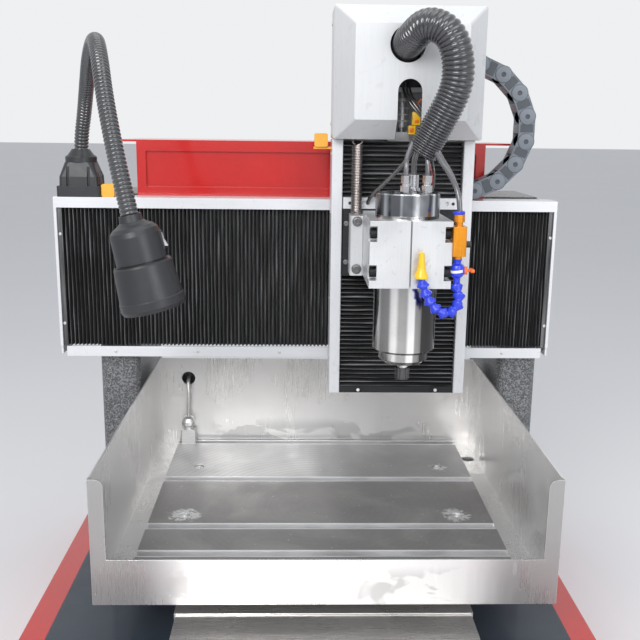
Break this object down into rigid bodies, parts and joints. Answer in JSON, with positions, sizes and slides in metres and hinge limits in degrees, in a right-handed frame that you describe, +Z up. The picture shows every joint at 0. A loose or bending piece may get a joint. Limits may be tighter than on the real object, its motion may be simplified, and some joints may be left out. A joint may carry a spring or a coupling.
{
  "type": "cnc engraving machine",
  "caption": "Bench engraving machine: moving T-slot table in a splash tray, fixed gantry with pleated covers, spindle on a Z column, lamp and coolant hose.",
  "frame": {"origin": "centre of the rectangle of floor bolts, on the floor", "axes": "+Z up, +Y from the front of the machine to the gantry's back, +X to the right seen from the front"},
  "size_m": [0.718, 0.96, 0.908],
  "materials": {
    "base": "gloss red paint",
    "deck": "satin blue-grey paint",
    "casting": "hammered dark paint",
    "guide_steel": "ground steel",
    "white_cover": "white coated aluminium",
    "dark_part": "black anodised",
    "motor": "black painted motor",
    "bellows": "black coated cloth",
    "chain": "grey plastic",
    "stainless": "bright stainless sheet",
    "table": "milled aluminium",
    "clamp": "machined aluminium",
    "spindle": "turned steel",
    "chrome": "bright plated",
    "fastener": "black oxide steel",
    "table_screw": "zinc plated steel",
    "armoured": "armoured sleeve",
    "hose_black": "black corrugated hose",
    "tubing": "clear and silver tube",
    "brass": "orange brass",
    "hose_blue": "blue plastic",
    "nozzle": "yellow plastic",
    "handle": "orange plastic",
    "sensor": "yellow plastic",
    "lamp": "dark grey plastic",
    "gooseneck": "grey ribbed sleeve",
    "switch": "light grey rocker"
  },
  "bodies": {
    "frame": {"base_frame": "base", "deck_plates": "deck", "machine_bed": "casting", "linear_rails": "guide_steel", "screw_supports": "guide_steel", "axis_motors": "motor", "column_left": "casting", "column_right": "casting", "gantry_beam": "casting", "beam_top_box": "base", "cover_frame": "white_cover", "x_bellows": "bellows", "drag_chain": "chain", "way_cover_fixed": "stainless", "shelf_sensor": "sensor", "lamp_base": "lamp", "lamp_gooseneck": "gooseneck", "lamp_head": "lamp"},
    "lamp_switch": {"lamp_switch": "switch"},
    "table": {"table_plate": "table", "table_screws": "table_screw", "tray": "stainless", "saddle": "casting", "y_bearings": "guide_steel", "tool_setter": "chrome", "setter_cable": "armoured", "way_cover_upper": "stainless"},
    "cover_front_2": {"way_cover_front_2": "stainless"},
    "cover_front_3": {"way_cover_front_3": "stainless"},
    "cover_rear_2": {"way_cover_rear_2": "stainless"},
    "cover_rear_3": {"way_cover_rear_3": "stainless"},
    "y_screw": {"y_screw": "guide_steel"},
    "x_screw": {"x_screw": "guide_steel"},
    "x_carriage": {"carriage_casting": "casting", "x_bearings": "guide_steel", "z_column": "white_cover", "z_bottom_cap": "dark_part", "z_guides": "guide_steel", "z_motor": "motor", "head_cover": "white_cover", "carriage_sensor": "sensor", "z_bellows": "bellows", "balance_spring": "chrome", "corrugated_hose": "hose_black"},
    "z_screw": {"z_screw": "guide_steel"},
    "z_head": {"z_plate": "dark_part", "z_bearings": "guide_steel", "spindle_clamp": "clamp", "clamp_bolts": "fastener", "spindle_body": "spindle", "spindle_fittings": "chrome", "spindle_tubes": "tubing", "coolant_block": "brass", "hose_base": "hose_blue"},
    "spindle_rotor": {"spindle_shaft": "spindle", "collet_nut": "chrome"},
    "valve_handle": {"valve_handle": "handle"},
    "hose_middle": {"hose_middle": "hose_blue"},
    "hose_end": {"hose_end": "hose_blue", "coolant_nozzle": "nozzle"}
  },
  "joints": [
    {"name": "y_slide", "type": "slide", "parent": "frame", "child": "table", "axis": [0, 1, 0], "range_m": [-0.235, 0.125]},
    {"name": "cover_front_2_slide", "type": "slide", "parent": "frame", "child": "cover_front_2", "axis": [0, 1, 0], "range_m": [-0.15867, 0.08533]},
    {"name": "cover_front_3_slide", "type": "slide", "parent": "frame", "child": "cover_front_3", "axis": [0, 1, 0], "range_m": [-0.08033, 0.04367]},
    {"name": "cover_rear_2_slide", "type": "slide", "parent": "frame", "child": "cover_rear_2", "axis": [0, 1, 0], "range_m": [-0.15867, 0.08533]},
    {"name": "cover_rear_3_slide", "type": "slide", "parent": "frame", "child": "cover_rear_3", "axis": [0, 1, 0], "range_m": [-0.08033, 0.04367]},
    {"name": "y_screw_turn", "type": "hinge", "parent": "frame", "child": "y_screw", "pos_m": [0, 0, 0.131], "axis": [0, 1, 0], "continuous": true},
    {"name": "x_slide", "type": "slide", "parent": "frame", "child": "x_carriage", "axis": [1, 0, 0], "range_m": [-0.285, 0.075], "deforming": ["x_bellows", "drag_chain"]},
    {"name": "x_screw_turn", "type": "hinge", "parent": "frame", "child": "x_screw", "pos_m": [0, 0.206, 0.55], "axis": [1, 0, 0], "continuous": true},
    {"name": "z_slide", "type": "slide", "parent": "x_carriage", "child": "z_head", "axis": [0, 0, 1], "range_m": [-0.13, 0.01], "deforming": ["balance_spring", "z_bellows", "corrugated_hose", "spindle_tubes"]},
    {"name": "z_screw_turn", "type": "hinge", "parent": "x_carriage", "child": "z_screw", "pos_m": [0.107, 0.092, 0.5], "axis": [0, 0, 1], "continuous": true},
    {"name": "spindle_turn", "type": "hinge", "parent": "z_head", "child": "spindle_rotor", "pos_m": [0.1025, -0.037, 0.45], "axis": [0, 0, 1], "continuous": true},
    {"name": "valve_turn", "type": "hinge", "parent": "z_head", "child": "valve_handle", "pos_m": [0.1707, -0.078, 0.586], "axis": [1, 0, 0], "range_deg": [0, 90]},
    {"name": "hose_lower_bend", "type": "hinge", "parent": "z_head", "child": "hose_middle", "pos_m": [0.1616, -0.0902, 0.5464], "axis": [0, 1, 0], "range_deg": [-12, 12]},
    {"name": "hose_upper_bend", "type": "hinge", "parent": "hose_middle", "child": "hose_end", "pos_m": [0.1268, -0.0946, 0.5488], "axis": [0, 1, 0], "range_deg": [-12, 12]},
    {"name": "lamp_rocker", "type": "hinge", "parent": "frame", "child": "lamp_switch", "pos_m": [-0.18502, -0.158, 0.63086], "axis": [0, 1, 0], "range_deg": [0, 16]}
  ],
  "couplings": [
    {"joint": "cover_front_2_slide", "follows": "y_slide", "ratio": 0.66667},
    {"joint": "cover_front_3_slide", "follows": "y_slide", "ratio": 0.33333},
    {"joint": "cover_rear_2_slide", "follows": "y_slide", "ratio": 0.66667},
    {"joint": "cover_rear_3_slide", "follows": "y_slide", "ratio": 0.33333},
    {"joint": "y_screw_turn", "follows": "y_slide", "rad_per_m": 628.32},
    {"joint": "x_screw_turn", "follows": "x_slide", "rad_per_m": 628.32},
    {"joint": "z_screw_turn", "follows": "z_slide", "rad_per_m": 628.32}
  ]
}
